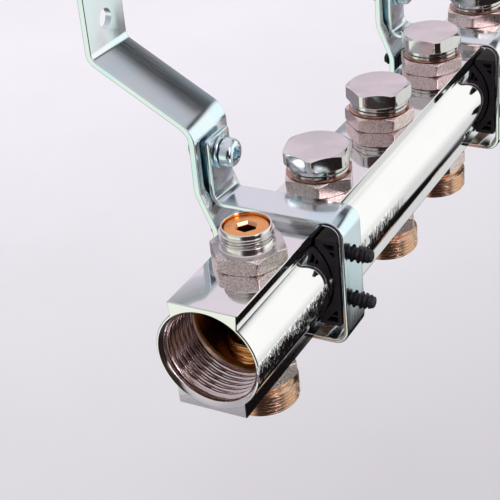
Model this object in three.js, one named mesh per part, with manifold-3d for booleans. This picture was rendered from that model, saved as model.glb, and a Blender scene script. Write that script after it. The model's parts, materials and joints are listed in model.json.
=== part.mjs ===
// Underfloor heating manifold: one bar of a five-circuit manifold on two wall brackets.
// The bar runs along X, +Z is up, the wall is the plane Y = 0 and the room is on the -Y side.
// Each circuit has a lockshield valve on top of the bar and a threaded outlet under it.
// Every piece is its own closed solid, in millimetres.
import * as THREE from 'three';
import { mergeVertices } from 'three/addons/utils/BufferGeometryUtils.js';
import Module from 'manifold-3d';

const wasm = await Module();
wasm.setup();

// ---------------------------------------------------------------------------
// Driving dimensions
// ---------------------------------------------------------------------------

// Circuits along the bar
const CIRCUITS = 5;
const PITCH = 50;
const END_TO_FIRST = 30;
const BAR_LENGTH = 2 * END_TO_FIRST + (CIRCUITS - 1) * PITCH;
const UNCAPPED_CIRCUIT = 0; // its cap is off, so its spindle can be reached

// Bar section: a round tube joined to a flat-topped block
const BAR_R = 17.35;
const BLOCK_WIDTH = 23.2;
const WAIST_WIDTH = 22.2; // where the block's undercut sides meet the tube
const BLOCK_HALF_HEIGHT = 18.1;
const BORE_R = 14.6;

// G 1 internal thread at both ends of the bar, drawn as rings
const END_THREAD_ROOT_R = 16.2;
const END_THREAD_CREST_R = 15.15;
const END_THREAD_PITCH = 2.31;
const END_THREAD_TURNS = 7;
const MOUTH_R = 16.55;
const MOUTH_CHAMFER = 1.4;
const MOUTH_LAND = 1.2; // plain land between the chamfer and the first thread

// Hexagons that are screwed down on the bar, top and bottom
const HEX_FLATS = 21.5;
const HEX_CORNER_R = 12.35;
const HEX_CHAMFER = 0.7;
const HEX_GAP = 0.3;

// Valve insert, measured up from the bar's axis
const INSERT_HOLE_R = 8.5;
const STUB_R = 8.2;
const STUB_BOTTOM = 10;
const TOP_HEX_TOP = 23.4;
const NECK_R = 7.6;
const NECK_PLAIN_R = 8.3;
const NECK_TOP = 25.6;
const NECK_THREAD_R = 8.6;
const NECK_THREAD_PITCH = 1.0;
const NECK_THREAD_TURNS = 3;
const RIM_R = 7.85;
const RIM_TOP = 30;
const RIM_CHAMFER = 0.25;
const SPINDLE_WELL_R = 7.25;
const SPINDLE_WELL_FLOOR = 18.3;
const STEM_HOLE_R = 3.9;

// Lockshield spindle and the rubber disc that it carries, drawn open
const SPINDLE_HEAD_R = 6.9;
const SPINDLE_HEAD_TOP = 29.1;
const SPINDLE_HEAD_BOTTOM = 22.6;
const STEM_R = 3.5;
const STEM_BOTTOM = -0.7;
const KEY_FLATS = 5;
const KEY_DEPTH = 4.6;
const KEY_COUNTERSINK_R = 3.5;
const DISC_R = 8.2;
const DISC_TOP = -1;
const DISC_BOTTOM = -4;

// Cap and the brass collar under it
const CAP_FLATS = 20.8;
const CAP_CORNER_R = 11.35;
const CAP_TOP_R = 10.4;
const CAP_RIM_R = 10.5;
const CAP_BOTTOM = 25.6;
const CAP_HEX_BOTTOM = 26.3;
const CAP_TOP = 32.4;
const CAP_CHAMFER = 0.55;
const CAP_WELL_R = 8.95;
const CAP_WELL_TOP = 30.8;
const COLLAR_R = 11;
const COLLAR_BOTTOM = 23.7;
const COLLAR_TOP = 25.3;

// Outlet nipple, measured down from the bar's axis
const OUTLET_HOLE_R = 9.5;
const NIPPLE_STUB_R = 9.2;
const SEAT_Z = -8.2;
const BOTTOM_HEX_BOTTOM = -24;
const UNDERCUT_R = 10.2;
const UNDERCUT_BOTTOM = -25.4;
const OUTLET_THREAD_R = 12.2;
const OUTLET_ROOT_R = 11.35;
const OUTLET_THREAD_PITCH = 1.5;
const OUTLET_THREAD_TURNS = 5;
const OUTLET_BOTTOM = -33.5;
const OUTLET_BORE_R = 6.5;
const CONE_MOUTH_R = 9.2;
const CONE_DEPTH = 5.5;

// O-rings in the grooves of the insert's and the nipple's stub
const GROOVE_HEIGHT = 1.9;
const GROOVE_DEPTH = 1;
const GROOVE_FROM_FACE = 0.3;
const RING_SECTION_R = 0.55;

// Wall bracket: arm, clamp strap, rubber cheeks and clamp screw
const BRACKET_FROM_END = 57.5;
const WALL_Y = 62;
const FOOT_TOP = 118;
const FOOT_MIDDLE = 93;
const FOOT_HOLE_R = 3.3;
const FOOT_HOLE_OFFSET = 15;
const ARM_WIDTH = 21;
const ARM_THICKNESS = 2.2;
const ARM_SLOPE = THREE.MathUtils.degToRad(30.7);
const ARM_UPPER_Y = 26.8;
const ARM_LOWER_Y = 21.6;
const ARM_ELBOW_Z = 47.4;
const ARM_JOGGLE_TOP = 26.5;
const ARM_JOGGLE_BOTTOM = 13.5;
const ARM_BOTTOM = -20;
const STRAP_WIDTH = 13.2;
const STRAP_THICKNESS = 1.6;
const STRAP_TAB_Y = 23.7;
const STRAP_TAB_TOP = 43.6;
const STRAP_OVER_Z = 21.3;
const STRAP_FRONT_Y = -20.7;
const STRAP_UNDER_Z = -21.9;
const STRAP_HOOK_Y = 23.9;
const STRAP_HOOK_TOP = -14.5;
const CHEEK_WIDTH = 14;
const CHEEK_HALF_HEIGHT = 15.5;
const REAR_CHEEK_BOTTOM = -12.5;
const RUBBER_GAP = 0.3;
const PEG_Z = 8.5;
const PEG_R = 2.1;
const PEG_BARB_R = 2.6;
const PEG_HOLE_R = 2.9;
const PEG_LENGTH = 8.6;
const SCREW_Z = 37.3;
const SCREW_R = 2.5;
const SCREW_HOLE_R = 3.1;
const SCREW_LENGTH = 12.2;
const SCREW_HEAD_R = 4.7;
const SCREW_HEAD_HEIGHT = 4.5;
const WASHER_R = 5.4;
const WASHER_HOLE_R = 2.9;
const WASHER_THICKNESS = 1;
const NUT_FLATS = 8;
const NUT_THICKNESS = 4;
const NUT_HOLE_R = 2.8;
const STACK_GAP = 0.3;

// Segments of round pieces
const ROUND_BAR = 36;
const ROUND = 20;
const ROUND_SMALL = 12;
const CUT = 2; // how far a cutter passes the face that it cuts

// ---------------------------------------------------------------------------
// Materials
// ---------------------------------------------------------------------------

const finish = (color, roughness, metalness) => ({ color, roughness, metalness });
const NICKEL = finish(0xd2d3d2, 0.12, 1);
const BLASTED_NICKEL = finish(0xa79d95, 0.5, 1);
const CHROME = finish(0xdcdcde, 0.15, 1);
const BRASS = finish(0xc98a55, 0.3, 1);
const COLLAR_BRASS = finish(0x8a5a3c, 0.3, 1);
const ZINC = finish(0xc3cbd0, 0.22, 1);
const RUBBER = finish(0x1c1a1c, 0.75, 0);

// ---------------------------------------------------------------------------
// Solids
// ---------------------------------------------------------------------------

// A geometry as a solid, with its shared vertices merged and its faces pointing out.
function solidOf(geometry) {
  const bare = new THREE.BufferGeometry();
  bare.setAttribute('position', geometry.getAttribute('position'));
  bare.setIndex(geometry.index);
  const merged = mergeVertices(bare, 1e-4);
  const corners = merged.index.array;
  const triangles = [];
  for (let i = 0; i < corners.length; i += 3) {
    const [a, b, c] = corners.slice(i, i + 3);
    if (a !== b && b !== c && c !== a) triangles.push([a, b, c]);
  }
  const build = (rows) => new wasm.Manifold(new wasm.Mesh({
    numProp: 3,
    vertProperties: merged.attributes.position.array,
    triVerts: new Uint32Array(rows.flat()),
  }));
  const solid = build(triangles);
  return solid.volume() > 0 ? solid : build(triangles.map(([a, b, c]) => [a, c, b]));
}

// A solid's surface as a three.js geometry.
function geometryOf(solid) {
  const mesh = solid.getMesh();
  const geometry = new THREE.BufferGeometry();
  geometry.setAttribute('position', new THREE.BufferAttribute(mesh.vertProperties, 3));
  geometry.setIndex(new THREE.BufferAttribute(mesh.triVerts, 1));
  return geometry;
}

// A turned piece about Z, from [radius, height] points.
function turned(profile, segments = ROUND) {
  const points = profile.map(([r, z]) => new THREE.Vector2(r, z));
  return solidOf(new THREE.LatheGeometry(points, segments).rotateX(Math.PI / 2));
}

function cylinder(radius, bottom, top, segments = ROUND) {
  return turned([[0, bottom], [radius, bottom], [radius, top], [0, top]], segments);
}

// A hexagonal prism about Z, with one corner at the angle cornerAt.
function hexPrism(flats, bottom, top, cornerAt) {
  const circumscribed = flats / Math.sqrt(3);
  const prism = new THREE.CylinderGeometry(circumscribed, circumscribed, top - bottom, 6);
  prism.rotateX(Math.PI / 2);
  prism.rotateZ(cornerAt - Math.PI / 6);
  prism.translate(0, 0, (top + bottom) / 2);
  return solidOf(prism);
}

// The circle that takes the sharp corners off a hexagon, chamfered at both faces.
function cornerTurning(radius, chamfer, bottom, top) {
  const faceRadius = radius - chamfer * 2;
  return turned([
    [0, bottom],
    [faceRadius, bottom],
    [radius, bottom + chamfer],
    [radius, top - chamfer],
    [faceRadius, top],
    [0, top],
  ]);
}

// Thread ridges as rings: crest and root points from bottom to top.
function threadRings(rootR, crestR, bottom, pitch, turns) {
  const points = [[rootR, bottom]];
  for (let turn = 0; turn < turns; turn += 1) {
    points.push([crestR, bottom + (turn + 0.5) * pitch]);
    points.push([rootR, bottom + (turn + 1) * pitch]);
  }
  return points;
}

// An O-ring about Z.
function sealRing(radius, height) {
  const ring = new THREE.TorusGeometry(radius, RING_SECTION_R, 5, 16);
  ring.translate(0, 0, height);
  return solidOf(ring);
}

// A pin along Y, from one depth to another, at x and z.
function pinAlongY(radius, fromY, toY, x, z, segments = ROUND_SMALL) {
  const pin = new THREE.CylinderGeometry(radius, radius, toY - fromY, segments);
  pin.translate(x, (fromY + toY) / 2, z);
  return solidOf(pin);
}

// A side outline in (y, z), extruded along X and centred on x = 0.
function extrudedAlongX(shape, width) {
  const geometry = new THREE.ExtrudeGeometry(shape, {
    depth: width,
    bevelEnabled: false,
    curveSegments: 10,
  });
  geometry.translate(0, 0, -width / 2);
  const yzx = new THREE.Matrix4().makeBasis(
    new THREE.Vector3(0, 1, 0),
    new THREE.Vector3(0, 0, 1),
    new THREE.Vector3(1, 0, 0),
  );
  return solidOf(geometry.applyMatrix4(yzx));
}

// The side outline of a bent strip: its middle line is a run of corners [y, z, bend radius].
function stripShape(corners, thickness) {
  const stations = [];
  const at = ([y, z]) => new THREE.Vector2(y, z);
  corners.forEach((corner, i) => {
    const here = at(corner);
    const toLast = i > 0 ? at(corners[i - 1]).sub(here).normalize() : null;
    const toNext = i < corners.length - 1 ? at(corners[i + 1]).sub(here).normalize() : null;
    if (!toLast || !toNext) {
      stations.push({ point: here, heading: toNext || toLast.clone().negate() });
      return;
    }
    const bend = Math.acos(THREE.MathUtils.clamp(-toLast.dot(toNext), -1, 1));
    const setback = corner[2] * Math.tan(bend / 2);
    const inward = toLast.clone().add(toNext).normalize();
    const centre = here.clone().add(inward.multiplyScalar(corner[2] / Math.cos(bend / 2)));
    const start = here.clone().add(toLast.clone().multiplyScalar(setback));
    const side = Math.sign(toLast.clone().negate().cross(toNext));
    const steps = Math.max(2, Math.ceil(bend / 0.35));
    for (let step = 0; step <= steps; step += 1) {
      const turn = side * bend * (step / steps);
      stations.push({
        point: start.clone().rotateAround(centre, turn),
        heading: toLast.clone().negate().rotateAround(new THREE.Vector2(), turn),
      });
    }
  });
  const offset = ({ point, heading }, by) => (
    new THREE.Vector2(point.x - heading.y * by, point.y + heading.x * by)
  );
  const left = stations.map((station) => offset(station, thickness / 2));
  const right = stations.map((station) => offset(station, -thickness / 2)).reverse();
  return new THREE.Shape([...left, ...right]);
}

// ---------------------------------------------------------------------------
// The bar
// ---------------------------------------------------------------------------

function barShape() {
  const half = BLOCK_WIDTH / 2;
  const cornerAngle = Math.acos(WAIST_WIDTH / 2 / BAR_R);
  const shape = new THREE.Shape();
  shape.moveTo(-half, -BLOCK_HALF_HEIGHT);
  shape.lineTo(half, -BLOCK_HALF_HEIGHT);
  shape.absarc(0, 0, BAR_R, -cornerAngle, cornerAngle, false);
  shape.lineTo(half, BLOCK_HALF_HEIGHT);
  shape.lineTo(-half, BLOCK_HALF_HEIGHT);
  shape.absarc(0, 0, BAR_R, Math.PI - cornerAngle, Math.PI + cornerAngle, false);
  return shape;
}

// What is cut out of the bar along its axis: chamfered mouths, end threads and the bore.
function barBore() {
  const threadStart = MOUTH_CHAMFER + MOUTH_LAND;
  const threadEnd = threadStart + END_THREAD_PITCH * END_THREAD_TURNS;
  const nearEnd = [
    [0, -CUT],
    [MOUTH_R, -CUT],
    [MOUTH_R, 0],
    [END_THREAD_CREST_R, MOUTH_CHAMFER],
    ...threadRings(
      END_THREAD_CREST_R, END_THREAD_ROOT_R, threadStart, END_THREAD_PITCH, END_THREAD_TURNS,
    ),
    [BORE_R, threadEnd + 1],
  ];
  const farEnd = nearEnd.map(([r, x]) => [r, BAR_LENGTH - x]).reverse();
  return turned([...nearEnd, ...farEnd], ROUND_BAR).rotate([0, 90, 0]);
}

function bar() {
  let body = extrudedAlongX(barShape(), BAR_LENGTH).translate([BAR_LENGTH / 2, 0, 0]);
  body = body.subtract(barBore());
  for (let circuit = 0; circuit < CIRCUITS; circuit += 1) {
    const x = circuitX(circuit);
    const above = cylinder(INSERT_HOLE_R, 0, BLOCK_HALF_HEIGHT + CUT);
    const below = cylinder(OUTLET_HOLE_R, -BLOCK_HALF_HEIGHT - CUT, 0);
    body = body.subtract(above.translate([x, 0, 0]));
    body = body.subtract(below.translate([x, 0, 0]));
  }
  return body;
}

const circuitX = (circuit) => END_TO_FIRST + circuit * PITCH;

// ---------------------------------------------------------------------------
// One circuit, about its own vertical axis
// ---------------------------------------------------------------------------

function turnedHex(bottom, top, cornerAt) {
  const prism = hexPrism(HEX_FLATS, bottom, top, cornerAt);
  return prism.intersect(cornerTurning(HEX_CORNER_R, HEX_CHAMFER, bottom, top));
}

const TOP_GROOVE_TOP = BLOCK_HALF_HEIGHT - GROOVE_FROM_FACE;
const TOP_GROOVE_BOTTOM = TOP_GROOVE_TOP - GROOVE_HEIGHT;

function valveInsert(cornerAt) {
  const threadTop = NECK_TOP + NECK_THREAD_PITCH * NECK_THREAD_TURNS;
  const outside = turned([
    [0, STUB_BOTTOM],
    [STUB_R, STUB_BOTTOM],
    [STUB_R, TOP_GROOVE_BOTTOM],
    [STUB_R - GROOVE_DEPTH, TOP_GROOVE_BOTTOM],
    [STUB_R - GROOVE_DEPTH, TOP_GROOVE_TOP],
    [STUB_R, TOP_GROOVE_TOP],
    [STUB_R, TOP_HEX_TOP],
    [NECK_PLAIN_R, TOP_HEX_TOP],
    [NECK_PLAIN_R, NECK_TOP - 0.1],
    ...threadRings(NECK_R, NECK_THREAD_R, NECK_TOP, NECK_THREAD_PITCH, NECK_THREAD_TURNS),
    [RIM_R, threadTop + 0.1],
    [RIM_R, RIM_TOP - RIM_CHAMFER],
    [RIM_R - RIM_CHAMFER, RIM_TOP],
    [0, RIM_TOP],
  ]);
  const hex = turnedHex(BLOCK_HALF_HEIGHT + HEX_GAP, TOP_HEX_TOP, cornerAt);
  const well = cylinder(SPINDLE_WELL_R, SPINDLE_WELL_FLOOR, RIM_TOP + CUT);
  const stemHole = cylinder(STEM_HOLE_R, STUB_BOTTOM - CUT, RIM_TOP, ROUND_SMALL);
  return outside.add(hex).subtract(well).subtract(stemHole);
}

function spindle(cornerAt) {
  const blank = turned([
    [0, STEM_BOTTOM],
    [STEM_R, STEM_BOTTOM],
    [STEM_R, SPINDLE_HEAD_BOTTOM],
    [SPINDLE_HEAD_R, SPINDLE_HEAD_BOTTOM],
    [SPINDLE_HEAD_R, SPINDLE_HEAD_TOP],
    [0, SPINDLE_HEAD_TOP],
  ]);
  const keyBottom = SPINDLE_HEAD_TOP - KEY_DEPTH;
  const key = hexPrism(KEY_FLATS, keyBottom, SPINDLE_HEAD_TOP + CUT, cornerAt);
  const countersink = turned([
    [0, SPINDLE_HEAD_TOP - KEY_COUNTERSINK_R],
    [KEY_COUNTERSINK_R + CUT, SPINDLE_HEAD_TOP + CUT],
    [0, SPINDLE_HEAD_TOP + CUT],
  ], ROUND_SMALL);
  return blank.subtract(key).subtract(countersink);
}

const valveDisc = () => cylinder(DISC_R, DISC_BOTTOM, DISC_TOP);

function cap(cornerAt) {
  const hex = hexPrism(CAP_FLATS, CAP_HEX_BOTTOM, CAP_TOP, cornerAt);
  const turning = turned([
    [0, CAP_HEX_BOTTOM],
    [CAP_RIM_R, CAP_HEX_BOTTOM],
    [CAP_CORNER_R, CAP_HEX_BOTTOM + CAP_CHAMFER],
    [CAP_CORNER_R, CAP_TOP - CAP_CHAMFER],
    [CAP_TOP_R, CAP_TOP],
    [0, CAP_TOP],
  ]);
  const rim = cylinder(CAP_RIM_R, CAP_BOTTOM, CAP_HEX_BOTTOM + CAP_CHAMFER);
  const well = cylinder(CAP_WELL_R, CAP_BOTTOM - CUT, CAP_WELL_TOP);
  return hex.intersect(turning).add(rim).subtract(well);
}

const capCollar = () => turned([
  [CAP_WELL_R, COLLAR_BOTTOM],
  [COLLAR_R, COLLAR_BOTTOM],
  [COLLAR_R, COLLAR_TOP],
  [CAP_WELL_R, COLLAR_TOP],
  [CAP_WELL_R, COLLAR_BOTTOM],
]);

const BOTTOM_GROOVE_BOTTOM = -BLOCK_HALF_HEIGHT + GROOVE_FROM_FACE;
const BOTTOM_GROOVE_TOP = BOTTOM_GROOVE_BOTTOM + GROOVE_HEIGHT;

function outletNipple(cornerAt) {
  const threadBottom = UNDERCUT_BOTTOM - OUTLET_THREAD_PITCH * OUTLET_THREAD_TURNS;
  const outside = turned([
    [0, OUTLET_BOTTOM],
    [OUTLET_ROOT_R, OUTLET_BOTTOM],
    ...threadRings(
      OUTLET_ROOT_R, OUTLET_THREAD_R, threadBottom, OUTLET_THREAD_PITCH, OUTLET_THREAD_TURNS,
    ),
    [UNDERCUT_R, UNDERCUT_BOTTOM + 0.1],
    [UNDERCUT_R, BOTTOM_HEX_BOTTOM],
    [NIPPLE_STUB_R, BOTTOM_HEX_BOTTOM],
    [NIPPLE_STUB_R, BOTTOM_GROOVE_BOTTOM],
    [NIPPLE_STUB_R - GROOVE_DEPTH, BOTTOM_GROOVE_BOTTOM],
    [NIPPLE_STUB_R - GROOVE_DEPTH, BOTTOM_GROOVE_TOP],
    [NIPPLE_STUB_R, BOTTOM_GROOVE_TOP],
    [NIPPLE_STUB_R, SEAT_Z],
    [0, SEAT_Z],
  ]);
  const hex = turnedHex(BOTTOM_HEX_BOTTOM, -BLOCK_HALF_HEIGHT - HEX_GAP, cornerAt);
  const waterway = turned([
    [0, OUTLET_BOTTOM - CUT],
    [CONE_MOUTH_R, OUTLET_BOTTOM - CUT],
    [CONE_MOUTH_R, OUTLET_BOTTOM],
    [OUTLET_BORE_R, OUTLET_BOTTOM + CONE_DEPTH],
    [OUTLET_BORE_R, SEAT_Z + CUT],
    [0, SEAT_Z + CUT],
  ]);
  return outside.add(hex).subtract(waterway);
}

const insertSeal = () => sealRing(
  STUB_R - GROOVE_DEPTH + 0.1 + RING_SECTION_R,
  (TOP_GROOVE_BOTTOM + TOP_GROOVE_TOP) / 2,
);
const outletSeal = () => sealRing(
  NIPPLE_STUB_R - GROOVE_DEPTH + 0.1 + RING_SECTION_R,
  (BOTTOM_GROOVE_BOTTOM + BOTTOM_GROOVE_TOP) / 2,
);

// ---------------------------------------------------------------------------
// One bracket, about the bar's axis, with its middle at x = 0
// ---------------------------------------------------------------------------

function bracketArm() {
  const footY = WALL_Y - ARM_THICKNESS / 2;
  const footBend = ARM_ELBOW_Z + (footY - ARM_UPPER_Y) * Math.tan(ARM_SLOPE);
  let arm = extrudedAlongX(stripShape([
    [footY, FOOT_TOP],
    [footY, footBend, 4],
    [ARM_UPPER_Y, ARM_ELBOW_Z, 7],
    [ARM_UPPER_Y, ARM_JOGGLE_TOP, 8],
    [ARM_LOWER_Y, ARM_JOGGLE_BOTTOM, 8],
    [ARM_LOWER_Y, ARM_BOTTOM],
  ], ARM_THICKNESS), ARM_WIDTH);
  const throughFoot = [WALL_Y - ARM_THICKNESS - CUT, WALL_Y + CUT];
  const throughUpper = [ARM_UPPER_Y - ARM_THICKNESS, ARM_UPPER_Y + ARM_THICKNESS];
  const throughLower = [ARM_LOWER_Y - ARM_THICKNESS, ARM_LOWER_Y + ARM_THICKNESS];
  arm = arm.subtract(pinAlongY(FOOT_HOLE_R, ...throughFoot, 0, FOOT_MIDDLE + FOOT_HOLE_OFFSET));
  arm = arm.subtract(pinAlongY(FOOT_HOLE_R, ...throughFoot, 0, FOOT_MIDDLE - FOOT_HOLE_OFFSET));
  arm = arm.subtract(pinAlongY(SCREW_HOLE_R, ...throughUpper, 0, SCREW_Z));
  arm = arm.subtract(pinAlongY(PEG_HOLE_R, ...throughLower, 0, PEG_Z));
  return arm.subtract(pinAlongY(PEG_HOLE_R, ...throughLower, 0, -PEG_Z));
}

// The strap goes over the bar, down its front and back under it, and hooks round the arm's end.
function clampStrap() {
  let strap = extrudedAlongX(stripShape([
    [STRAP_TAB_Y, STRAP_TAB_TOP],
    [STRAP_TAB_Y, STRAP_OVER_Z, 4],
    [STRAP_FRONT_Y, STRAP_OVER_Z, 4.5],
    [STRAP_FRONT_Y, STRAP_UNDER_Z, 4.5],
    [STRAP_HOOK_Y, STRAP_UNDER_Z, 2],
    [STRAP_HOOK_Y, STRAP_HOOK_TOP],
  ], STRAP_THICKNESS), STRAP_WIDTH);
  const throughTab = [STRAP_TAB_Y - STRAP_THICKNESS, STRAP_TAB_Y + STRAP_THICKNESS];
  const throughFront = [STRAP_FRONT_Y - STRAP_THICKNESS, STRAP_FRONT_Y + STRAP_THICKNESS];
  strap = strap.subtract(pinAlongY(SCREW_HOLE_R, ...throughTab, 0, SCREW_Z));
  strap = strap.subtract(pinAlongY(PEG_HOLE_R, ...throughFront, 0, PEG_Z));
  return strap.subtract(pinAlongY(PEG_HOLE_R, ...throughFront, 0, -PEG_Z));
}

// A rubber cheek between the bar and a flat strip, on the +Y side of the bar.
// It has a window near each end, and two barbed pegs that are pulled through the strip.
function rubberCheek(stripFaceY, bottom, top) {
  const outer = stripFaceY - RUBBER_GAP;
  const hollowR = BAR_R + RUBBER_GAP;
  const blockFace = BLOCK_WIDTH / 2 + RUBBER_GAP;
  const shape = new THREE.Shape();
  const inner = (z) => (
    Math.abs(z) < Math.sqrt(hollowR ** 2 - blockFace ** 2) ? Math.sqrt(hollowR ** 2 - z ** 2) : blockFace
  );
  const lowAngle = Math.asin(Math.max(bottom, -Math.sqrt(hollowR ** 2 - blockFace ** 2)) / hollowR);
  const highAngle = Math.asin(Math.min(top, Math.sqrt(hollowR ** 2 - blockFace ** 2)) / hollowR);
  shape.moveTo(outer, bottom);
  shape.lineTo(outer, top);
  shape.lineTo(inner(top), top);
  shape.absarc(0, 0, hollowR, highAngle, lowAngle, true);
  shape.lineTo(inner(bottom), bottom);
  let cheek = extrudedAlongX(shape, CHEEK_WIDTH);
  cheek = cheek.subtract(extrudedAlongX(cheekWindow(outer, top, -1), CHEEK_WIDTH + CUT));
  if (bottom < -CHEEK_HALF_HEIGHT + 1) {
    cheek = cheek.subtract(extrudedAlongX(cheekWindow(outer, bottom, 1), CHEEK_WIDTH + CUT));
  }
  return cheek.add(peg(outer, PEG_Z)).add(peg(outer, -PEG_Z));
}

// The triangular window of a cheek, whose long side is next to the strip.
function cheekWindow(outer, end, towardsMiddle) {
  const wall = 1.4;
  const from = end + towardsMiddle * wall;
  return new THREE.Shape([
    new THREE.Vector2(outer - wall, from),
    new THREE.Vector2(outer - wall, from + towardsMiddle * 4.2),
    new THREE.Vector2(outer - wall - 3.8, from),
  ]);
}

// A barbed peg along +Y.
function peg(rootY, z) {
  const tip = PEG_LENGTH;
  const barbs = [4.2, 6];
  const profile = [[0, -1], [PEG_R, -1]];
  barbs.forEach((height) => {
    profile.push([PEG_R, height]);
    profile.push([PEG_BARB_R, height + 0.1]);
    profile.push([PEG_R, height + 1.2]);
  });
  profile.push([PEG_R * 0.75, tip], [0, tip]);
  return turned(profile, 12).rotate([-90, 0, 0]).translate([0, rootY, z]);
}

// The screw stack is built about +Z, which is turned to point at the room (-Y) when placed.
function clampScrew() {
  const head = turned([
    [0, -SCREW_LENGTH],
    [SCREW_R, -SCREW_LENGTH],
    [SCREW_R, 0],
    [SCREW_HEAD_R, 0],
    [SCREW_HEAD_R, SCREW_HEAD_HEIGHT * 0.55],
    [SCREW_HEAD_R * 0.72, SCREW_HEAD_HEIGHT],
    [0, SCREW_HEAD_HEIGHT],
  ], ROUND_SMALL);
  const slotLength = SCREW_HEAD_R * 1.15;
  const slot = new THREE.BoxGeometry(slotLength, 1, 2.6).translate(0, 0, SCREW_HEAD_HEIGHT);
  const across = slot.clone().rotateZ(Math.PI / 2);
  return head.subtract(solidOf(slot)).subtract(solidOf(across));
}

const clampWasher = () => turned([
  [WASHER_HOLE_R, 0],
  [WASHER_R, 0],
  [WASHER_R, WASHER_THICKNESS],
  [WASHER_HOLE_R, WASHER_THICKNESS],
  [WASHER_HOLE_R, 0],
], ROUND_SMALL);

function clampNut() {
  const hex = hexPrism(NUT_FLATS, -NUT_THICKNESS, 0, 0);
  return hex.subtract(cylinder(NUT_HOLE_R, -NUT_THICKNESS - CUT, CUT, ROUND_SMALL));
}

// ---------------------------------------------------------------------------
// Assembly
// ---------------------------------------------------------------------------

function piece(name, solid, look) {
  const mesh = new THREE.Mesh(geometryOf(solid), new THREE.MeshStandardMaterial(look));
  mesh.name = name;
  return mesh;
}

// Each hexagon stopped at its own angle when it was screwed tight.
const topCornerAngle = [37.5, 23.5, 47, 30, 12].map(THREE.MathUtils.degToRad);
const capCornerAngle = [0, 12, 51, 33, 20].map(THREE.MathUtils.degToRad);
const outletCornerAngle = [41, 8, 27, 52, 16].map(THREE.MathUtils.degToRad);
const spindleCornerAngle = [20, 50, 5, 35, 15].map(THREE.MathUtils.degToRad);

function circuitGroup(circuit) {
  const group = new THREE.Group();
  group.position.x = circuitX(circuit);
  group.add(
    piece(`valve_insert_${circuit}`, valveInsert(topCornerAngle[circuit]), BLASTED_NICKEL),
    piece(`insert_seal_${circuit}`, insertSeal(), RUBBER),
    piece(`spindle_${circuit}`, spindle(spindleCornerAngle[circuit]), BRASS),
    piece(`valve_disc_${circuit}`, valveDisc(), RUBBER),
    piece(`outlet_nipple_${circuit}`, outletNipple(outletCornerAngle[circuit]), BRASS),
    piece(`outlet_seal_${circuit}`, outletSeal(), RUBBER),
  );
  if (circuit !== UNCAPPED_CIRCUIT) {
    group.add(
      piece(`cap_${circuit}`, cap(capCornerAngle[circuit]), CHROME),
      piece(`cap_collar_${circuit}`, capCollar(), COLLAR_BRASS),
    );
  }
  return group;
}

// Turns a piece that is built about +Z to point at the room, with its foot at depth y.
function onScrewAxis(mesh, y) {
  mesh.rotation.x = Math.PI / 2;
  mesh.position.set(0, y, SCREW_Z);
  return mesh;
}

function bracketGroup(side, x) {
  const group = new THREE.Group();
  group.position.x = x;
  const strapInnerFace = STRAP_THICKNESS / 2 - STRAP_FRONT_Y;
  const frontFace = -STRAP_FRONT_Y - STRAP_THICKNESS / 2;
  const frontCheek = rubberCheek(
    Math.min(strapInnerFace, frontFace), -CHEEK_HALF_HEIGHT, CHEEK_HALF_HEIGHT,
  ).rotate([0, 0, 180]);
  const rearCheek = rubberCheek(
    ARM_LOWER_Y - ARM_THICKNESS / 2, REAR_CHEEK_BOTTOM, CHEEK_HALF_HEIGHT - 3,
  );
  const tabFace = STRAP_TAB_Y - STRAP_THICKNESS / 2;
  const washerFoot = tabFace - STACK_GAP;
  const headFoot = washerFoot - WASHER_THICKNESS - STACK_GAP;
  const nutFoot = ARM_UPPER_Y + ARM_THICKNESS / 2 + STACK_GAP;
  group.add(
    piece(`bracket_arm_${side}`, bracketArm(), ZINC),
    piece(`clamp_strap_${side}`, clampStrap(), ZINC),
    piece(`front_cheek_${side}`, frontCheek, RUBBER),
    piece(`rear_cheek_${side}`, rearCheek, RUBBER),
    onScrewAxis(piece(`clamp_washer_${side}`, clampWasher(), ZINC), washerFoot),
    onScrewAxis(piece(`clamp_screw_${side}`, clampScrew(), ZINC), headFoot),
    onScrewAxis(piece(`clamp_nut_${side}`, clampNut(), ZINC), nutFoot),
  );
  return group;
}

// The origin is on the wall, at the middle of the near bracket's foot.
const manifold = new THREE.Group();
manifold.position.set(-BRACKET_FROM_END, -WALL_Y, -FOOT_MIDDLE);
manifold.add(piece('manifold_bar', bar(), NICKEL));
for (let circuit = 0; circuit < CIRCUITS; circuit += 1) {
  manifold.add(circuitGroup(circuit));
}
manifold.add(bracketGroup('near', BRACKET_FROM_END));
manifold.add(bracketGroup('far', BAR_LENGTH - BRACKET_FROM_END));

export default manifold;
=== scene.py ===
import json
import math

import bmesh
import bpy
import numpy as np
from mathutils import Matrix, Vector


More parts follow.
